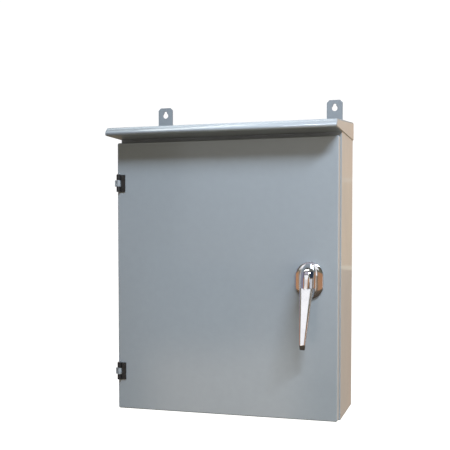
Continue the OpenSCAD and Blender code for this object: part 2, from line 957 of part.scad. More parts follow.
module relay_sockets() {
    color("dimgray") place() for (x = relay_x) difference() {
        block([x, rail_y - 24, rail_z - 36], [x + relay_w, rail_y, rail_z + 36]);
        for (i = [0 : 3], side = [-1, 1])
            rod_y(x + relay_w * (i + 0.5) / 4, rail_y - 25, rail_y - 16, rail_z + side * 29, 3);
    }
}

module control_relays() {
    color("lightyellow") place() for (x = relay_x) {
        block([x + 2, rail_y - 66, rail_z - 21], [x + relay_w - 2, rail_y - 27, rail_z + 21]);
        block([x + 5, rail_y - 27, rail_z - 18], [x + relay_w - 5, rail_y - 24, rail_z + 18]);
    }
}

module time_delay_relay() {
    x = -22;
    w = 22.5;
    color("whitesmoke") place() difference() {
        union() {
            block([x, rail_y - 62, rail_z - 40], [x + w, rail_y, rail_z + 40]);
            block([x, rail_y - 74, rail_z - 22], [x + w, rail_y - 62, rail_z + 22]);
        }
        for (z = [-10, 10]) rod_y(x + w / 2, rail_y - 75, rail_y - 72, rail_z + z, 5);
    }
}

strip_x = 14;
strip_pitch = 8;
strip_count = 12;

module terminal_strip() {
    end_x = strip_x + strip_pitch * strip_count;
    color("beige") place() difference() {
        union() {
            block([strip_x, rail_y - 30, rail_z - 28], [end_x, rail_y, rail_z + 28]);
            block([strip_x, rail_y - 42, rail_z - 14], [end_x, rail_y - 30, rail_z + 14]);
        }
        for (i = [0 : strip_count - 1], side = [-1, 1])
            rod_y(strip_x + strip_pitch * (i + 0.5), rail_y - 31, rail_y - 22, rail_z + side * 21, 2.6);
        for (i = [1 : strip_count - 1])
            block([strip_x + strip_pitch * i - 0.5, rail_y - 43, rail_z - 29],
                  [strip_x + strip_pitch * i + 0.5, rail_y - 36, rail_z + 29]);
    }
}

module control_bracket() {
    low = control_z - 45;
    high = control_z + 35;
    color("gainsboro") place() difference() {
        union() {
            block([panel_x[0], plate_y - panel_t, low], [panel_x[1], plate_y, low + 30]);
            block([panel_x[0], panel_y - panel_t, low], [panel_x[1], plate_y, low + panel_t]);
            block([panel_x[0], panel_y - panel_t, low], [panel_x[1], panel_y, high]);
        }
        for (x = [selector_x, button_x]) rod_y(x, panel_y - panel_t - 1, panel_y + 1, control_z, 11);
    }
}

collar_y = panel_y - panel_t - 3;

// Barrel, front collar and rear contact block of a panel-mounted control
module control_operator(x, bore_r) {
    difference() {
        union() {
            rod_y(x, collar_y, panel_y - panel_t, control_z, 14);
            rod_y(x, panel_y - panel_t, panel_y + 20, control_z, 11);
            block([x - 13, panel_y + 20, control_z - 13], [x + 13, panel_y + 52, control_z + 13]);
        }
        rod_y(x, collar_y - 1, panel_y + 30, control_z, bore_r);
    }
}

selector_stem_r = 5;
button_r = 7;

module selector_body() {
    color("dimgray") place() control_operator(selector_x, selector_stem_r + run_gap);
}

module test_button_body() {
    color("dimgray") place() control_operator(button_x, button_r + run_gap);
}

module selector_knob() {
    cap_y = collar_y - face_gap;
    color("black") place() {
        rod_y(selector_x, cap_y, panel_y + 24, control_z, selector_stem_r);
        rod_y(selector_x, cap_y - 4, cap_y, control_z, 12);
        block([selector_x - 3.5, cap_y - 15, control_z - 11], [selector_x + 3.5, cap_y - 4, control_z + 11]);
    }
}

module test_button() {
    color("green") place() {
        rod_y(button_x, collar_y - 8, panel_y + 18, control_z, button_r);
    }
}

// --- neutral and ground bars ---

bar_l = 120;
bar_t = 10;
bar_h = 14;
bar_lift = 22;
bar_holes = 8;
neutral_x = -70;
ground_x = 90;
ground_foot = 6;
neutral_front_y = plate_y - bar_lift - bar_t;
ground_front_y = plate_y - ground_foot - bar_t;

module connection_bar(x, y) {
    difference() {
        block([x - bar_l / 2, y - bar_t, bar_z - bar_h / 2], [x + bar_l / 2, y, bar_z + bar_h / 2]);
        each_bar_screw(x) rod_z(0, y - bar_t / 2, bar_z - bar_h, bar_z + bar_h, 3);
    }
}

module each_bar_screw(x) {
    for (i = [0 : bar_holes - 1])
        translate([x + (i - (bar_holes - 1) / 2) * (bar_l - 16) / (bar_holes - 1), 0, 0]) children();
}

module neutral_bar() {
    color("peru") place() connection_bar(neutral_x, plate_y - bar_lift);
}

module neutral_insulators() {
    color("firebrick") place() for (x = both_sides(bar_l / 2 - 12))
        rod_y(neutral_x + x, plate_y - bar_lift, plate_y, bar_z, 9);
}

module ground_bar() {
    color("peru") place() {
        connection_bar(ground_x, plate_y - ground_foot);
        for (x = both_sides(bar_l / 2 - 8))
            block([ground_x + x - 6, plate_y - ground_foot, bar_z - bar_h / 2],
                  [ground_x + x + 6, plate_y, bar_z + bar_h / 2]);
    }
}

enclosure_body();
rain_hood();
mounting_ear_left();
mounting_ear_right();
ear_bolts();
gland_plate();
gland_gasket();
gland_screws();
cable_grommets();
upper_hinge_frame_leaf();
lower_hinge_frame_leaf();
hinge_pins();
hinge_frame_screws();
mounting_plate();
plate_studs();
plate_nuts();
switch_base();
shaft_brackets();
shaft_bushes();
normal_contacts();
emergency_contacts();
load_terminals();
terminal_screws();
phase_barriers();
arc_chutes();
solenoid_frame();
solenoid_coil();
din_rail();
control_breaker();
relay_sockets();
control_relays();
time_delay_relay();
terminal_strip();
control_bracket();
selector_body();
test_button_body();
neutral_bar();
neutral_insulators();
ground_bar();
door();
door_gasket();
upper_hinge_door_leaf();
lower_hinge_door_leaf();
hinge_door_screws();
handle_rose();
handle_seal();
handle_back_nut();
handle_lever();
handle_spindle();
latch_cam();
cam_nut();
main_shaft();
contact_carriers();
moving_contacts();
shaft_crank();
manual_lever();
solenoid_plunger();
breaker_toggle();
selector_knob();
test_button();
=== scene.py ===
"""Looks of a wall-mounted automatic transfer switch in a sheet-steel enclosure.

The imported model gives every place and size, in metres: +Z is up, the wall is Y = 0 and the
front faces -Y. The script adds detailed pieces, procedural materials, light and a camera.
"""
import math

import bpy
from mathutils import Matrix, Vector


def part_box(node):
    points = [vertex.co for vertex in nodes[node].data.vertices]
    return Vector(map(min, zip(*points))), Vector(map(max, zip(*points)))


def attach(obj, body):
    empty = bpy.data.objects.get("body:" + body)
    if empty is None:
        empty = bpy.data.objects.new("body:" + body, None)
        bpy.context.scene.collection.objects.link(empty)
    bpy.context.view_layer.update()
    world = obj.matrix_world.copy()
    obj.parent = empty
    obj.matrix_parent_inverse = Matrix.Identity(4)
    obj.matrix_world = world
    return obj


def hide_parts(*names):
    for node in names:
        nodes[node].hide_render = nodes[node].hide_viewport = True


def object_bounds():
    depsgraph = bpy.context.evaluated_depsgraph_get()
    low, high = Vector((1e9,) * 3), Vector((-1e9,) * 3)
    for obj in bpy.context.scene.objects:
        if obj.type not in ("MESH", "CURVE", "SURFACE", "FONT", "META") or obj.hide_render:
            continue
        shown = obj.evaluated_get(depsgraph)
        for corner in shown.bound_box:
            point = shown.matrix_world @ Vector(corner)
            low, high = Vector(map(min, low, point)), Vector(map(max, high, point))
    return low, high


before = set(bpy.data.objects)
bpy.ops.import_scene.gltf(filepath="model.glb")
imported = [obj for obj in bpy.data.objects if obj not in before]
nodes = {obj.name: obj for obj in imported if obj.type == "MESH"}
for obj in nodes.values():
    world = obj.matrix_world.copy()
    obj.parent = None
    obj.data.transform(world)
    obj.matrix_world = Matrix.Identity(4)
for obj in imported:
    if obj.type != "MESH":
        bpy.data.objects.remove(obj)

MM = 0.001
cad_low, cad_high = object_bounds()


# --- mesh helpers ---

def new_piece(name, vertices, faces, body, *replaced, smooth_angle=35.0):
    """A mesh object that rides on a body and stands for CAD nodes."""
    mesh = bpy.data.meshes.new(name)
    mesh.from_pydata([tuple(v) for v in vertices], [], faces)
    mesh.validate()
    mesh.update()
    piece = bpy.data.objects.new(name, mesh)
    bpy.context.scene.collection.objects.link(piece)
    mesh.shade_smooth()
    mesh.set_sharp_from_angle(angle=math.radians(smooth_angle))
    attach(piece, body)
    if replaced:
        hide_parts(*replaced)
    return piece


def loft(rings):
    """Vertices and faces of a closed surface through rings that have the same count of points."""
    count = len(rings[0])
    vertices = [point for ring in rings for point in ring]
    faces = []
    for row in range(len(rings) - 1):
        for i in range(count):
            j = (i + 1) % count
            near = row * count
            far = near + count
            faces.append((near + i, near + j, far + j, far + i))
    last = (len(rings) - 1) * count
    faces.append(tuple(reversed(range(count))))
    faces.append(tuple(range(last, last + count)))
    return vertices, faces


def merged(parts):
    """One list of vertices and faces from several."""
    vertices = []
    faces = []
    for part_vertices, part_faces in parts:
        start = len(vertices)
        vertices.extend(part_vertices)
        faces.extend(tuple(start + i for i in face) for face in part_faces)
    return vertices, faces


def superellipse(half_x, half_y, power, count):
    """Points of a rounded box outline; a power of 2 is an ellipse and higher is squarer."""
    points = []
    for i in range(count):
        angle = 2 * math.pi * i / count
        c = math.cos(angle)
        s = math.sin(angle)
        x = half_x * math.copysign(abs(c) ** (2 / power), c)
        y = half_y * math.copysign(abs(s) ** (2 / power), s)
        points.append((x, y))
    return points


def rounded_rectangle(half_x, half_z, radius, steps):
    """Outline points of an upright rectangle with round corners, anticlockwise from the right."""
    points = []
    corners = ((1, 1, 0), (-1, 1, 90), (-1, -1, 180), (1, -1, 270))
    for side_x, side_z, start in corners:
        for i in range(steps + 1):
            angle = math.radians(start + 90 * i / steps)
            points.append((side_x * (half_x - radius) + radius * math.cos(angle),
                           side_z * (half_z - radius) + radius * math.sin(angle)))
    return points


def filleted(corners, steps=6):
    """A 2D path through corners (a, b, radius), with an arc of that radius at each inner one."""
    path = [Vector(corners[0][:2])]
    for before, corner, after in zip(corners, corners[1:], corners[2:]):
        point = Vector(corner[:2])
        back = (Vector(before[:2]) - point).normalized()
        ahead = (Vector(after[:2]) - point).normalized()
        half_angle = back.angle(ahead) / 2
        reach = corner[2] / math.tan(half_angle)
        centre = point + (back + ahead).normalized() * (corner[2] / math.sin(half_angle))
        first = point + back * reach - centre
        last = point + ahead * reach - centre
        radius = first.length
        for i in range(steps + 1):
            path.append(centre + first.normalized().slerp(last.normalized(), i / steps) * radius)
    path.append(Vector(corners[-1][:2]))
    return path


def path_normals(path):
    """Unit normals on the left of a 2D path."""
    normals = []
    for i in range(len(path)):
        along = (path[min(i + 1, len(path) - 1)] - path[max(i - 1, 0)]).normalized()
        normals.append(Vector((-along.y, along.x)))
    return normals


def folded_sheet(path, thickness):
    """Closed outline of a sheet of that thickness, folded along the path, on the path's right."""
    inner = [point - normal * thickness for point, normal in zip(path, path_normals(path))]
    return path + inner[::-1]


def keep_flats_flat(piece):
    """Lets the large faces rule the shading where they meet a bend."""
    piece.modifiers.new("weighted", "WEIGHTED_NORMAL").weight = 100


# --- material helpers ---

class Look:
    """One procedural material around a Principled shader, in object coordinates."""

    def __init__(self, name):
        self.material = bpy.data.materials.new("look_" + name)
        self.material.use_nodes = True
        self.tree = self.material.node_tree
        self.shader = self.tree.nodes["Principled BSDF"]
        self.object_space = self.add("ShaderNodeTexCoord").outputs["Object"]

    def add(self, kind, **values):
        node = self.tree.nodes.new(kind)
        for key, value in values.items():
            setattr(node, key, value)
        return node

    def link(self, source, target):
        self.tree.links.new(source, target)

    def constant(self, **values):
        """Sets sockets of the shader, named with underscores for spaces."""
        for key, value in values.items():
            self.shader.inputs[key.replace("_", " ")].default_value = value

    def stretched(self, scale):
        mapping = self.add("ShaderNodeMapping")
        mapping.inputs["Scale"].default_value = scale
        self.link(self.object_space, mapping.inputs["Vector"])
        return mapping.outputs["Vector"]

    def noise(self, scale, detail=3.0, stretch=None, roughness=0.55):
        texture = self.add("ShaderNodeTexNoise")
        texture.inputs["Scale"].default_value = scale
        texture.inputs["Detail"].default_value = detail
        texture.inputs["Roughness"].default_value = roughness
        source = self.stretched(stretch) if stretch else self.object_space
        self.link(source, texture.inputs["Vector"])
        return texture.outputs["Fac"]

    def remap(self, value, low, high, start=0.3, end=0.7):
        node = self.add("ShaderNodeMapRange")
        node.inputs["From Min"].default_value = start
        node.inputs["From Max"].default_value = end
        node.inputs["To Min"].default_value = low
        node.inputs["To Max"].default_value = high
        self.link(value, node.inputs["Value"])
        return node.outputs["Result"]

    def mix(self, factor, first, second):
        """Mixes two colours, each a tuple or a socket."""
        node = self.add("ShaderNodeMix", data_type="RGBA")
        self.link(factor, node.inputs["Factor"])
        for socket, colour in (("A", first), ("B", second)):
            target = [s for s in node.inputs if s.name == socket and s.type == "RGBA"][0]
            if isinstance(colour, tuple):
                target.default_value = (*colour, 1.0)
            else:
                self.link(colour, target)
        return [s for s in node.outputs if s.type == "RGBA"][0]

    def colour(self, value):
        self.link(value, self.shader.inputs["Base Color"])

    def roughness(self, value):
        self.link(value, self.shader.inputs["Roughness"])

    def bumps(self, *layers):
        """Stacks bump layers, each (height, strength, distance in metres)."""
        normal = None
        for height, strength, distance in layers:
            node = self.add("ShaderNodeBump")
            node.inputs["Strength"].default_value = strength
            node.inputs["Distance"].default_value = distance
            self.link(height, node.inputs["Height"])
            if normal:
                self.link(normal, node.inputs["Normal"])
            normal = node.outputs["Normal"]
        self.link(normal, self.shader.inputs["Normal"])


def shade(colour, factor):
    """The colour made lighter or darker by a factor."""
    return tuple(min(1.0, c * factor) for c in colour)


# --- materials, one for each slot of the record ---

PAINT = (0.30, 0.345, 0.385)


def enclosure_paint(name, tone=1.0):
    """Semi-gloss blue-grey enamel with orange peel, faint mottling and a few dust nibs."""
    look = Look(name)
    mottle = look.noise(3.5, detail=4.0)
    fine = look.noise(60.0, detail=3.0)
    paint = shade(PAINT, tone)
    base = look.mix(look.remap(mottle, 0.0, 1.0), shade(paint, 0.965), shade(paint, 1.03))
    look.colour(look.mix(look.remap(fine, 0.0, 0.35), base, shade(paint, 0.9)))
    look.roughness(look.remap(look.noise(9.0, detail=3.0), 0.34, 0.44))
    peel = look.noise(420.0, detail=1.0)
    wave = look.noise(28.0, detail=1.0)
    look.bumps((peel, 0.12, 0.0002), (wave, 0.06, 0.001))
    look.constant(Specular_IOR_Level=0.5, Coat_Weight=0.6, Coat_Roughness=0.07)
    return look.material


def metal(name, colour, roughness, spread=0.08, grain=(1.0, 1.0, 1.0), grain_scale=300.0, bump=0.08,
          stain=None):
    """Bare or plated metal: patchy tone, brushed or cast grain, and stains where named."""
    look = Look(name)
    patch = look.remap(look.noise(22.0, detail=5.0), 0.0, 1.0)
    base = look.mix(patch, shade(colour, 0.86), shade(colour, 1.08))
    if stain:
        spots = look.remap(look.noise(70.0, detail=4.0), 0.0, 0.75, start=0.52, end=0.75)
        base = look.mix(spots, base, stain)
    look.colour(base)
    streaks = look.noise(grain_scale, detail=3.0, stretch=grain)
    look.roughness(look.remap(streaks, roughness - spread, roughness + spread))
    look.bumps((streaks, bump, 0.0002))
    look.constant(Metallic=1.0)
    return look.material


def plastic(name, colour, roughness, spread=0.06, texture=600.0, bump=0.1, coat=0.0):
    """Moulded plastic with a fine mould texture and slight flow marks."""
    look = Look(name)
    flow = look.remap(look.noise(14.0, detail=4.0), 0.0, 1.0)
    look.colour(look.mix(flow, shade(colour, 0.88), shade(colour, 1.1)))
    look.roughness(look.remap(look.noise(45.0), roughness - spread, roughness + spread))
    look.bumps((look.noise(texture, detail=1.0), bump, 0.0002))
    if coat:
        look.constant(Coat_Weight=coat, Coat_Roughness=0.1)
    return look.material


def chrome(name):
    """Polished chrome plate with handling smears and a very slight ripple."""
    look = Look(name)
    tone = look.remap(look.noise(30.0, detail=3.0), 0.0, 1.0)
    look.colour(look.mix(tone, (0.80, 0.80, 0.82), (0.90, 0.90, 0.91)))
    smear = look.noise(18.0, detail=6.0, stretch=(1.0, 1.0, 0.35))
    look.roughness(look.remap(smear, 0.05, 0.17, start=0.35, end=0.75))
    look.bumps((look.noise(90.0, detail=2.0), 0.05, 0.0002))
    look.constant(Metallic=1.0)
    return look.material


def hinge_black(name):
    """Black enamel with a satin sheen, greyed where it has rubbed."""
    look = Look(name)
    rub = look.remap(look.noise(160.0, detail=5.0), 0.0, 0.5, start=0.55, end=0.8)
    look.colour(look.mix(rub, (0.009, 0.009, 0.0095), (0.05, 0.049, 0.048)))
    look.roughness(look.remap(look.noise(60.0), 0.38, 0.55))
    look.bumps((look.noise(700.0, detail=1.0), 0.15, 0.0002))
    return look.material


def seal_rubber(name):
    """Dull black rubber with a grey bloom."""
    look = Look(name)
    bloom = look.remap(look.noise(40.0, detail=5.0), 0.0, 1.0)
    look.colour(look.mix(bloom, (0.02, 0.02, 0.021), (0.045, 0.044, 0.043)))
    look.roughness(look.remap(look.noise(120.0), 0.7, 0.9))
    look.bumps((look.noise(900.0, detail=2.0), 0.2, 0.0002))
    return look.material


def coil_wrap(name):
    """Amber varnished tape wound round the coil, one turn above the other."""
    look = Look(name)
    wave = look.add("ShaderNodeTexWave", bands_direction="Z")
    wave.inputs["Scale"].default_value = 55.0
    wave.inputs["Distortion"].default_value = 0.6
    look.link(look.object_space, wave.inputs["Vector"])
    look.colour(look.mix(wave.outputs["Fac"], (0.36, 0.17, 0.03), (0.62, 0.36, 0.08)))
    look.roughness(look.remap(look.noise(80.0), 0.2, 0.35))
    look.bumps((wave.outputs["Fac"], 0.5, 0.0004))
    look.constant(Coat_Weight=0.4, Coat_Roughness=0.12)
    return look.material


def relay_case(name):
    """Smoky clear case: light passes, with moulding marks."""
    look = Look(name)
    flow = look.remap(look.noise(20.0, detail=3.0), 0.0, 1.0)
    look.colour(look.mix(flow, (0.80, 0.83, 0.80), (0.92, 0.93, 0.90)))
    look.roughness(look.remap(look.noise(50.0), 0.08, 0.16))
    look.bumps((look.noise(300.0, detail=1.0), 0.03, 0.0002))
    look.constant(Transmission_Weight=0.75, IOR=1.49)
    return look.material


BRUSHED_Z = (1.0, 1.0, 0.04)
BRUSHED_X = (0.04, 1.0, 1.0)
LOOKS = {
    "enclosure_paint": enclosure_paint,
    "zinc_plate": lambda n: metal(n, (0.66, 0.68, 0.70), 0.36, grain=BRUSHED_Z,
                                  stain=(0.60, 0.60, 0.56)),
    "zinc_fasteners": lambda n: metal(n, (0.62, 0.62, 0.60), 0.34, stain=(0.58, 0.54, 0.42)),
    "hinge_black": hinge_black,
    "hinge_steel": lambda n: metal(n, (0.40, 0.40, 0.41), 0.35),
    "handle_chrome": chrome,
    "shaft_steel": lambda n: metal(n, (0.50, 0.51, 0.53), 0.28, grain=BRUSHED_X),
    "seal_rubber": seal_rubber,
    "copper": lambda n: metal(n, (0.78, 0.40, 0.24), 0.3, stain=(0.62, 0.30, 0.17)),
    "bronze": lambda n: metal(n, (0.66, 0.46, 0.22), 0.4, stain=(0.40, 0.27, 0.13)),
    "base_moulding": lambda n: plastic(n, (0.050, 0.055, 0.060), 0.5),
    "barrier_moulding": lambda n: plastic(n, (0.27, 0.055, 0.04), 0.48, bump=0.2, texture=250.0),
    "chute_moulding": lambda n: plastic(n, (0.50, 0.42, 0.30), 0.6),
    "coil_wrap": coil_wrap,
    "device_grey": lambda n: plastic(n, (0.60, 0.61, 0.60), 0.42),
    "control_black": lambda n: plastic(n, (0.020, 0.020, 0.022), 0.4),
    "relay_case": relay_case,
    "strip_beige": lambda n: plastic(n, (0.60, 0.56, 0.45), 0.5),
    "button_green": lambda n: plastic(n, (0.02, 0.28, 0.06), 0.25, coat=0.3),
    "lever_red": lambda n: plastic(n, (0.50, 0.02, 0.02), 0.28, coat=0.3),
}
materials = {slot: make(slot) for slot, make in LOOKS.items()}


def finish_with(piece, slot):
    """Gives a new piece the material of one slot of the record."""
    piece.data.materials.clear()
    piece.data.materials.append(materials[slot])


# --- CAD nodes that stay: materials and softened edges ---

# Edge radii in millimetres
EDGE_RADIUS = {
    "enclosure_body": 0.6, "door": 0.6, "rain_hood": 0.8,
    "mounting_ear_left": 0.5, "mounting_ear_right": 0.5, "mounting_plate": 0.6,
    "switch_base": 1.0, "control_breaker": 0.8, "control_relays": 1.0, "time_delay_relay": 0.8,
}
DEFAULT_EDGE_RADIUS = 0.35


def soften(node, radius):
    """Merges the flat facets, then rounds the sharp edges with modifiers only."""
    node.data.shade_smooth()
    weld = node.modifiers.new("weld", "WELD")
    weld.merge_threshold = 1e-6
    dissolve = node.modifiers.new("dissolve", "DECIMATE")
    dissolve.decimate_type = "DISSOLVE"
    dissolve.angle_limit = math.radians(0.5)
    bevel = node.modifiers.new("bevel", "BEVEL")
    bevel.width = radius
    bevel.segments = 3
    bevel.limit_method = "ANGLE"
    bevel.angle_limit = math.radians(40)
    bevel.use_clamp_overlap = False
    keep_flats_flat(node)


# The ears take the box's enamel darkened by a tone of 0.65 as painted shade: they stand in the shade
# behind the hood and read darker than the box
painted_shade_ear_paint = enclosure_paint("painted_shade_ear_paint", tone=0.65)

for node_name, node in nodes.items():
    slot_name = node.material_slots[0].name
    is_ear = node_name.startswith("mounting_ear")
    node.material_slots[0].material = painted_shade_ear_paint if is_ear else materials[slot_name]
    soften(node, EDGE_RADIUS.get(node_name, DEFAULT_EDGE_RADIUS) * MM)


# --- folded sheet metal ---

SHEET = 2.0 * MM
BEND = 2.4 * MM


def make_door_pan():
    """The door: a flat front with bent edges, welded corners and a return all round."""
    low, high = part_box("door")
    centre = (low + high) / 2
    half_x = (high.x - low.x) / 2
    half_z = (high.z - low.z) / 2
    rim = 0.5 * MM
    weld_radius = 1.2 * MM
    steps = 6
    # inset from the door's edge, depth from its front and corner radius of each ring
    stack = [(BEND + 2 * MM, 0.0, weld_radius)]
    for i in range(steps + 1):
        angle = math.pi / 2 * i / steps
        stack.append((BEND * (1 - math.sin(angle)), BEND * (1 - math.cos(angle)),
                      weld_radius + BEND * math.sin(angle)))
    depth = high.y - low.y
    outer_radius = weld_radius + BEND
    inner_radius = outer_radius - SHEET
    stack += [(0.0, depth - rim, outer_radius), (rim * 0.3, depth - rim * 0.3, outer_radius),
              (rim, depth, outer_radius), (SHEET - rim, depth, inner_radius),
              (SHEET - rim * 0.3, depth - rim * 0.3, inner_radius), (SHEET, depth - rim, inner_radius),
              (SHEET, SHEET + rim, inner_radius), (SHEET + rim, SHEET, inner_radius),
              (SHEET + 2 * MM, SHEET, inner_radius)]
    rings = [[Vector((centre.x + x, low.y + y, centre.z + z))
              for x, z in rounded_rectangle(half_x - inset, half_z - inset, radius, 5)]
             for inset, y, radius in stack]
    vertices, faces = loft(rings)
    piece = new_piece("door_pan", vertices, faces, "door", "door")
    keep_flats_flat(piece)
    finish_with(piece, "enclosure_paint")


def make_hood_sheet():
    """The rain hood: soffit, rolled lip, sloping roof and back flange from one sheet, and two cheeks."""
    low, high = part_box("rain_hood")
    lip = 14 * MM
    soffit_back_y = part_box("door")[1].y + SHEET
    bulge = 1.0 * MM
    nose = (low.y + 0.3 * MM, low.z)
    lip_top = (low.y + lip, low.z + lip)
    middle = ((nose[0] + lip_top[0]) / 2 - bulge, (nose[1] + lip_top[1]) / 2 + bulge)
    back_top = (high.y, high.z)
    path = filleted([(soffit_back_y, low.z, 0.0), (*nose, 2.2 * MM), (*middle, 16 * MM),
                     (*lip_top, 5.0 * MM), (*back_top, 2.5 * MM), (high.y, low.z, 0.0)])
    wall = folded_sheet(path[::-1], SHEET)
    inner_x = high.x - SHEET
    edge = 0.8 * MM
    sheet_rings = [[Vector((x, p.x, p.y)) for p in wall] for x in (-inner_x - edge, inner_x + edge)]
    parts = [loft(sheet_rings)]
    normals = path_normals(path)
    cheek_steps = ((inner_x, 0.0), (high.x - edge, 0.0), (high.x - edge * 0.3, edge * 0.3),
                   (high.x, edge))
    for side in (-1, 1):
        rings = []
        for x, inset in cheek_steps:
            outline = [p - n * inset for p, n in zip(path, normals)]
            rings.append([Vector((side * x, p.x, p.y)) for p in outline])
        parts.append(loft(rings if side > 0 else [ring[::-1] for ring in rings]))
    vertices, faces = merged(parts)
    piece = new_piece("hood_sheet", vertices, faces, "enclosure", "rain_hood", smooth_angle=30.0)
    keep_flats_flat(piece)
    finish_with(piece, "enclosure_paint")


make_door_pan()
make_hood_sheet()


# --- door handle ---

def node_centre(name):
    """The middle of a CAD node's box."""
    low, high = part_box(name)
    return (low + high) / 2


def stadium(radius, straight, count, y, centre):
    """A ring of an upright oval with straight sides, in the plane at y."""
    ring = []
    for i in range(count):
        angle = 2 * math.pi * i / count
        lift = straight if math.sin(angle) >= 0 else -straight
        ring.append(Vector((centre.x + radius * math.cos(angle), y,
                            centre.z + lift + radius * math.sin(angle))))
    return ring


def make_rose():
    """Domed oval escutcheon: a square edge, a rolled shoulder and a raised boss round the spindle."""
    low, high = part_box("handle_rose")
    centre = node_centre("handle_spindle")
    radius = (high.x - low.x) / 2
    straight = (high.z - low.z) / 2 - radius
    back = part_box("handle_seal")[0].y
    height = back - low.y
    # how far in from the rim in millimetres, and how high as a share of the height
    profile = [(0.0, 0.0), (0.0, 0.22), (0.2, 0.30)]
    for inset in (0.7, 1.6, 3.0, 5.0, 7.5, 10.5, 14.0, 18.0, 21.0):
        share = 1 - inset * MM / radius
        profile.append((inset, 0.25 + 0.75 * math.sqrt(1 - share ** 2)))
    count = 72
    rings = [stadium(radius - inset * MM, straight, count, back - lift * height, centre)
             for inset, lift in profile]
    boss_radius = 1.4 * (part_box("handle_spindle")[1].x - centre.x)
    rings.append(stadium(boss_radius, 0.0, count, low.y, centre))
    vertices, faces = loft(rings)
    piece = new_piece("rose_dome", vertices, faces, "door", "handle_rose")
    finish_with(piece, "handle_chrome")


LEVER_LEAN = math.radians(2.0)
LEVER_POINTS = 72
# How far the lever's front stands off the door's face, and the height of its crease from the spindle
LEVER_STANDOFF = 38 * MM
LEVER_CREASE = -14.5 * MM
BOSS_HALF_WIDTH = 14.0 * MM


def lever_section(z, half, face, back, power):
    """A level ring of the blade: its half width, front and back, and how square it is."""
    middle = (face + back) / 2
    depth = (back - face) / 2
    return [Vector((x, middle + y, z)) for x, y in superellipse(half, depth, power, LEVER_POINTS)]


def boss_section(z, half, face, back):
    """A level ring of the boss: a flat front between two slanted facets, with rounded corners."""
    middle = (face + back) / 2
    depth = (back - face) / 2
    slant = min(1.2, 8 * MM / depth)
    flat = 0.4
    sharpness = 16
    ring = []
    for i in range(LEVER_POINTS):
        angle = 2 * math.pi * i / LEVER_POINTS
        x = math.cos(angle)
        y = math.sin(angle)
        facet = (slant * abs(x) - (1 - flat) * y) / (1 - flat + flat * slant)
        total = abs(x) ** sharpness + abs(y) ** sharpness + max(0.0, facet) ** sharpness
        size = total ** (1 / sharpness)
        ring.append(Vector((half * x / size, middle + depth * y / size, z)))
    return ring


def boss_rings(top, crease, face, back, half):
    """The boss: a round top low against the rose, swelling to its full height at the spindle."""
    rings = []
    steps = 14
    shoulder_steps = 8
    low_face = back - 8 * MM
    shoulder = 4 * MM
    tip_height = 20 * MM
    for i in range(steps + shoulder_steps + 1):
        angle = math.pi / 2 * min(1.0, i / steps)
        z = top - tip_height * (1 - math.cos(angle))
        if i > steps:
            z = top - tip_height + (shoulder - top + tip_height) * (i - steps) / shoulder_steps
        rise = (top - z) / (top - shoulder)
        swell = math.sin(math.pi / 2 * rise) ** 0.7
        depth = (back - low_face + (low_face - face) * swell) * (0.35 + 0.65 * math.sin(angle))
        rings.append(boss_section(z, half * max(0.06, math.sin(angle)), back - depth, back))
    rings.append(boss_section(crease + 0.5 * MM, half, face, back))
    rings.append(boss_section(crease, half - 0.5 * MM, face + 0.05 * MM, back - 0.4 * MM))
    return rings


def make_lever():
    """Cast lever: a boss that swells out of the rose, a crease, and a blade that stands off the door."""
    low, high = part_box("handle_lever")
    axis = node_centre("handle_spindle")
    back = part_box("handle_rose")[0].y - 0.3 * MM
    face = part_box("door")[0].y - LEVER_STANDOFF
    rings = boss_rings(high.z - axis.z, LEVER_CREASE, face, back, BOSS_HALF_WIDTH)
    gap = 0.2 * MM
    length = LEVER_CREASE - (low.z - axis.z)
    tilt = (face - low.y) / length
    # along the blade, half width, how far the front falls back, thickness and squareness
    blade = [(0.0, 14.0, 0.0, 9.2, 3.0), (0.03, 13.8, 0.0, 9.0, 3.2), (0.25, 12.2, 0.0, 8.6, 3.4),
             (0.5, 10.3, 0.0, 8.2, 3.4), (0.75, 8.1, 0.0, 7.8, 3.4), (0.905, 6.55, 0.0, 7.4, 3.4),
             (0.91, 6.5, 0.0, 7.4, 3.4), (0.918, 6.4, 0.2, 7.2, 3.4), (0.985, 5.8, 4.8, 3.0, 3.0),
             (1.0, 4.8, 6.2, 1.4, 2.6)]
    for along, half, fall, thick, power in blade:
        z = LEVER_CREASE - gap - along * (length - gap)
        front = face - along * length * tilt + fall * MM
        rings.append(lever_section(z, half * MM, front, front + thick * MM, power))
    lean = Matrix.Translation(Vector((axis.x, 0.0, axis.z))) @ Matrix.Rotation(LEVER_LEAN, 4, "Y")
    rings = [[lean @ point for point in ring] for ring in rings]
    vertices, faces = loft(rings)
    piece = new_piece("lever_casting", vertices, faces, "handle", "handle_lever", smooth_angle=21.0)
    finish_with(piece, "handle_chrome")


make_rose()
make_lever()


# --- stage: floor, backdrop, world, lights and camera ---

STAGE_REACH = 30.0
STAGE_SEGMENTS = 48
# How far the floor lies below the box, which hangs on a wall
FLOOR_DROP = 1.2
ROOM_STRENGTH = 0.86


def stage_material(name, colour, glow):
    """A matt surface that also glows, so that it comes out evenly pale."""
    look = Look(name)
    look.colour(look.mix(look.remap(look.noise(2.0), 0.0, 1.0), shade(colour, 0.98), colour))
    look.constant(Roughness=0.9, Emission_Color=(*colour, 1.0), Emission_Strength=glow)
    return look.material


def only_seen_by(obj, camera=False, glossy=False):
    """Keeps a stage object out of the light on the part, except where asked."""
    obj.visible_camera = camera
    obj.visible_glossy = glossy
    obj.visible_diffuse = False
    obj.visible_transmission = False
    obj.visible_volume_scatter = False
    obj.visible_shadow = False


def stage_mesh(name, vertices, faces, material):
    """A stage object from its points, faces and material."""
    mesh = bpy.data.meshes.new(name)
    mesh.from_pydata(vertices, [], faces)
    obj = bpy.data.objects.new(name, mesh)
    bpy.context.scene.collection.objects.link(obj)
    mesh.materials.append(material)
    return obj


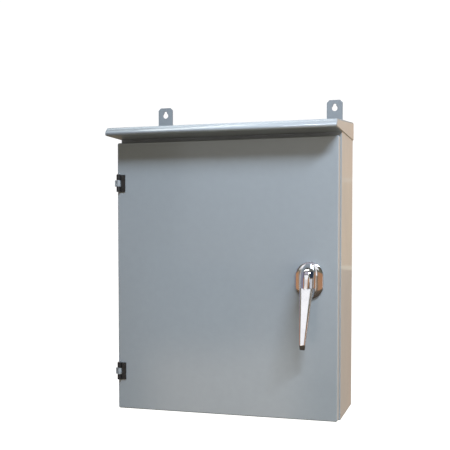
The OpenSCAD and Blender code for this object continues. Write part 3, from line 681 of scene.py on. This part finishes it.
def glow_material(name, colour, strength):
    """A material that only glows, with its emission node and its output node."""
    material = bpy.data.materials.new("look_" + name)
    material.use_nodes = True
    tree = material.node_tree
    tree.nodes.remove(tree.nodes["Principled BSDF"])
    emission = tree.nodes.new("ShaderNodeEmission")
    emission.inputs["Color"].default_value = (*colour, 1.0)
    emission.inputs["Strength"].default_value = strength
    surface = tree.nodes["Material Output"].inputs["Surface"]
    tree.links.new(emission.outputs[0], surface)
    return material, emission, surface


def level_ring(radius, z):
    """Points of a level circle round the part's upright axis."""
    turns = [2 * math.pi * i / STAGE_SEGMENTS for i in range(STAGE_SEGMENTS)]
    return [(radius * math.cos(turn), radius * math.sin(turn), z) for turn in turns]


def make_floor_and_backdrop():
    """A plain pale floor under the box and a plain white dome all round."""
    floor = stage_mesh("floor", level_ring(STAGE_REACH, cad_low.z - FLOOR_DROP),
                       [tuple(range(STAGE_SEGMENTS))], stage_material("floor", (0.95, 0.95, 0.95), 1.1))
    only_seen_by(floor, camera=True)
    bands = 13
    rings = []
    for step in range(bands):
        angle = math.pi * (step + 0.5) / bands - math.pi / 2
        rings.append(level_ring(STAGE_REACH * math.cos(angle), STAGE_REACH * math.sin(angle)))
    vertices, faces = loft(rings)
    white = glow_material("backdrop", (1.0, 1.0, 1.0), 1.05)[0]
    only_seen_by(stage_mesh("backdrop", vertices, faces, white), camera=True)


def make_world():
    """Room light by height: a bright ceiling, a warm brown band at eye level and a dim floor."""
    world = bpy.data.worlds.new("room")
    bpy.context.scene.world = world
    world.use_nodes = True
    tree = world.node_tree
    direction = tree.nodes.new("ShaderNodeTexCoord").outputs["Generated"]
    split = tree.nodes.new("ShaderNodeSeparateXYZ")
    tree.links.new(direction, split.inputs["Vector"])
    remap = tree.nodes.new("ShaderNodeMapRange")
    remap.inputs["From Min"].default_value = -1.0
    remap.inputs["From Max"].default_value = 1.0
    tree.links.new(split.outputs["Z"], remap.inputs["Value"])
    ramp = tree.nodes.new("ShaderNodeValToRGB")
    stops = [(0.0, (0.06, 0.052, 0.045)), (0.36, (0.12, 0.095, 0.07)), (0.44, (0.24, 0.185, 0.13)),
             (0.52, (0.24, 0.185, 0.125)), (0.57, (0.18, 0.172, 0.13)), (0.75, (0.125, 0.125, 0.10)),
             (1.0, (0.20, 0.20, 0.19))]
    elements = ramp.color_ramp.elements
    given = len(elements)
    for index, (position, colour) in enumerate(stops):
        element = elements[index] if index < given else elements.new(position)
        element.position = position
        element.color = (*colour, 1.0)
    tree.links.new(remap.outputs["Result"], ramp.inputs["Fac"])
    tree.links.new(ramp.outputs["Color"], tree.nodes["Background"].inputs["Color"])
    tree.nodes["Background"].inputs["Strength"].default_value = ROOM_STRENGTH


def area_light(name, direction, distance, size, power, colour, target, glossy=False):
    """A softbox, its width and height in size, that faces the target from a direction."""
    data = bpy.data.lights.new(name, "AREA")
    data.shape = "RECTANGLE"
    data.size, data.size_y = size
    data.energy = power
    data.color = colour
    lamp = bpy.data.objects.new(name, data)
    bpy.context.scene.collection.objects.link(lamp)
    towards = Vector(direction).normalized()
    lamp.location = target + towards * distance
    lamp.rotation_euler = towards.to_track_quat("Z", "Y").to_euler()
    lamp.visible_glossy = glossy


# Name, direction from the target, distance, width and height, power in watts and colour
LAMPS = (
    ("overhead", (-0.12, 0.22, 1.0), 2.2, (1.6, 0.5), 54.0, (1.0, 0.96, 0.90)),
    ("warm_side", (0.93, 0.02, 0.22), 2.0, (1.2, 1.2), 17.0, (1.0, 0.71, 0.50)),
    ("warm_fill", (0.85, -0.5, -0.1), 1.9, (1.0, 1.0), 8.0, (1.0, 0.90, 0.76)),
    ("floor_bounce", (0.35, -0.40, -0.90), 1.9, (1.4, 1.4), 6.2, (1.0, 0.86, 0.50)),
    ("left_rim", (-1.0, 0.12, 0.25), 2.0, (0.5, 1.0), 26.0, (1.0, 0.99, 0.97)),
)


def make_lights():
    """The key lamp aims at the hood's lip, so that the hood shades the top of the door."""
    hood_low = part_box("rain_hood")[0]
    lip = Vector((0.0, hood_low.y, hood_low.z))
    area_light("key", (1.365, -1.638, 1.84), 2.8, (1.7, 0.3), 123.5, (0.815, 0.885, 0.985), lip,
               glossy=True)
    for lamp in LAMPS:
        area_light(*lamp, node_centre("door"))


# Reflection cards round the part, which only glossy surfaces see: azimuth from the front towards the
# right in degrees, distance, low and high edge from the handle's height, width, colour, strength and
# how much of each edge fades out
CARDS = (
    ("carton_upper", 166.0, 1.42, 0.312, 0.80, 0.62, (0.86, 0.60, 0.38), 1.0, 0.0),
    ("carton_tape_upper", 166.0, 1.40, 0.298, 0.314, 0.62, (0.96, 0.78, 0.58), 1.0, 0.0),
    ("carton_middle", 166.0, 1.42, -0.022, 0.300, 0.62, (0.81, 0.57, 0.35), 1.0, 0.0),
    ("carton_tape_lower", 166.0, 1.40, -0.034, -0.018, 0.62, (1.0, 0.86, 0.64), 1.0, 0.0),
    ("carton_lower", 166.0, 1.42, -0.90, -0.032, 0.62, (0.58, 0.41, 0.27), 1.0, 0.0),
    ("window", -11.0, 2.6, 0.58, 1.70, 2.7, (0.97, 0.97, 1.0), 1.03, 0.16),
    ("doorway", -10.5, 2.55, -0.10, 0.80, 1.55, (0.98, 0.98, 1.0), 1.06, 0.20),
    ("ceiling", -12.0, 1.6, 1.15, 3.4, 2.2, (0.50, 0.47, 0.56), 1.0, 0.2),
    ("cool_wall", -18.0, 2.9, -0.80, 0.14, 1.5, (0.50, 0.60, 0.72), 1.0, 0.5),
    ("cream_wall", -8.0, 2.7, -0.75, 0.12, 1.1, (0.80, 0.73, 0.70), 1.0, 0.3),
    ("floor_sheen", -20.5, 2.6, -1.6, -0.35, 1.1, (0.95, 0.83, 0.72), 2.8, 0.5),
    ("lilac_wall", -92.0, 2.4, -0.90, 1.8, 2.2, (0.24, 0.215, 0.33), 1.0, 0.15),
    ("copper_wall_left", -50.0, 2.5, -0.70, 0.36, 1.6, (0.48, 0.255, 0.135), 1.0, 0.1),
    ("copper_wall_right", 27.0, 2.5, -0.70, 0.32, 1.9, (0.44, 0.235, 0.13), 1.0, 0.1),
    ("strip_window", 54.0, 2.4, -0.50, 0.6, 0.4, (1.0, 1.0, 1.0), 1.2, 0.3),
    ("pale_wall", 74.0, 2.4, -0.90, 0.05, 0.9, (0.62, 0.64, 0.70), 1.0, 0.3),
    ("dark_door", 80.0, 2.4, 0.05, 2.4, 1.6, (0.025, 0.04, 0.07), 1.0, 0.2),
)


# Width in metres over which even a card without a fade turns clear
SHARPEST_FADE = 1e-4


def card_material(name, colour, strength, size, fade):
    """Glows in one colour and turns clear towards the edges."""
    material, emission, surface = glow_material(name, colour, strength)
    tree = material.node_tree
    axes = tree.nodes.new("ShaderNodeSeparateXYZ")
    tree.links.new(tree.nodes.new("ShaderNodeTexCoord").outputs["Object"], axes.inputs["Vector"])
    cover = tree.nodes.new("ShaderNodeMath")
    cover.operation = "MULTIPLY"
    for index, (axis, half) in enumerate((("X", size[0] / 2), ("Z", size[1] / 2))):
        distance = tree.nodes.new("ShaderNodeMath")
        distance.operation = "ABSOLUTE"
        tree.links.new(axes.outputs[axis], distance.inputs[0])
        edge = tree.nodes.new("ShaderNodeMapRange")
        edge.interpolation_type = "SMOOTHSTEP"
        edge.inputs["From Min"].default_value = half * (1 - fade) - SHARPEST_FADE
        edge.inputs["From Max"].default_value = half
        edge.inputs["To Min"].default_value = 1.0
        edge.inputs["To Max"].default_value = 0.0
        tree.links.new(distance.outputs[0], edge.inputs["Value"])
        tree.links.new(edge.outputs["Result"], cover.inputs[index])
    blend = tree.nodes.new("ShaderNodeMixShader")
    tree.links.new(cover.outputs[0], blend.inputs[0])
    tree.links.new(tree.nodes.new("ShaderNodeBsdfTransparent").outputs[0], blend.inputs[1])
    tree.links.new(emission.outputs[0], blend.inputs[2])
    tree.links.new(blend.outputs[0], surface)
    return material


def card_mesh(name, size, colour, strength, fade):
    """A plain upright card, its width and height in size, that only glossy surfaces see."""
    half_x, half_z = size[0] / 2, size[1] / 2
    corners = [(sx * half_x, 0.0, sz * half_z) for sx, sz in ((-1, -1), (1, -1), (1, 1), (-1, 1))]
    material = card_material(name, colour, strength, size, fade)
    card = stage_mesh(name, corners, [(0, 1, 2, 3)], material)
    only_seen_by(card, glossy=True)
    return card


def make_card(name, azimuth, distance, low, high, width, colour, strength, fade):
    """An upright card that faces the handle."""
    turn = math.radians(azimuth)
    card = card_mesh(name, (width, high - low), colour, strength, fade)
    offset = Vector((math.sin(turn) * distance, -math.cos(turn) * distance, (low + high) / 2))
    card.location = node_centre("handle_rose") + offset
    card.rotation_euler.z = turn


def make_skylight():
    """A bright level panel above and to the left of the hood, for the highlight on its lip."""
    hood_low, hood_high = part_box("rain_hood")
    panel = card_mesh("skylight", (1.6, 0.5), (1.0, 1.0, 0.95), 7.2, 0.35)
    panel.location = Vector((-0.48, hood_low.y - 0.05, hood_high.z + 1.2))
    panel.rotation_euler.x = math.pi / 2


def make_camera():
    """Stands to the right of the middle, a little above it, and looks slightly down."""
    azimuth = math.radians(16.68)
    pitch = math.radians(2.28)
    distance = 1.7217
    door_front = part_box("door")[0].y
    aim_offset = Vector((3.2, 0.0, 21.5)) * MM
    target = node_centre("door")
    target.y = door_front
    target += aim_offset
    forward = Vector((-math.sin(azimuth) * math.cos(pitch), math.cos(azimuth) * math.cos(pitch),
                      -math.sin(pitch)))
    data = bpy.data.cameras.new("camera")
    data.sensor_width = 36.0
    data.lens = 63.78
    data.shift_y = 0.0956
    data.clip_end = 100.0
    camera = bpy.data.objects.new("camera", data)
    bpy.context.scene.collection.objects.link(camera)
    camera.location = target - forward * distance
    camera.rotation_euler = forward.to_track_quat("-Z", "Y").to_euler()
    bpy.context.scene.camera = camera


make_floor_and_backdrop()
make_world()
make_lights()
for card in CARDS:
    make_card(*card)
make_skylight()
make_camera()
bpy.context.scene.view_settings.view_transform = "Standard"
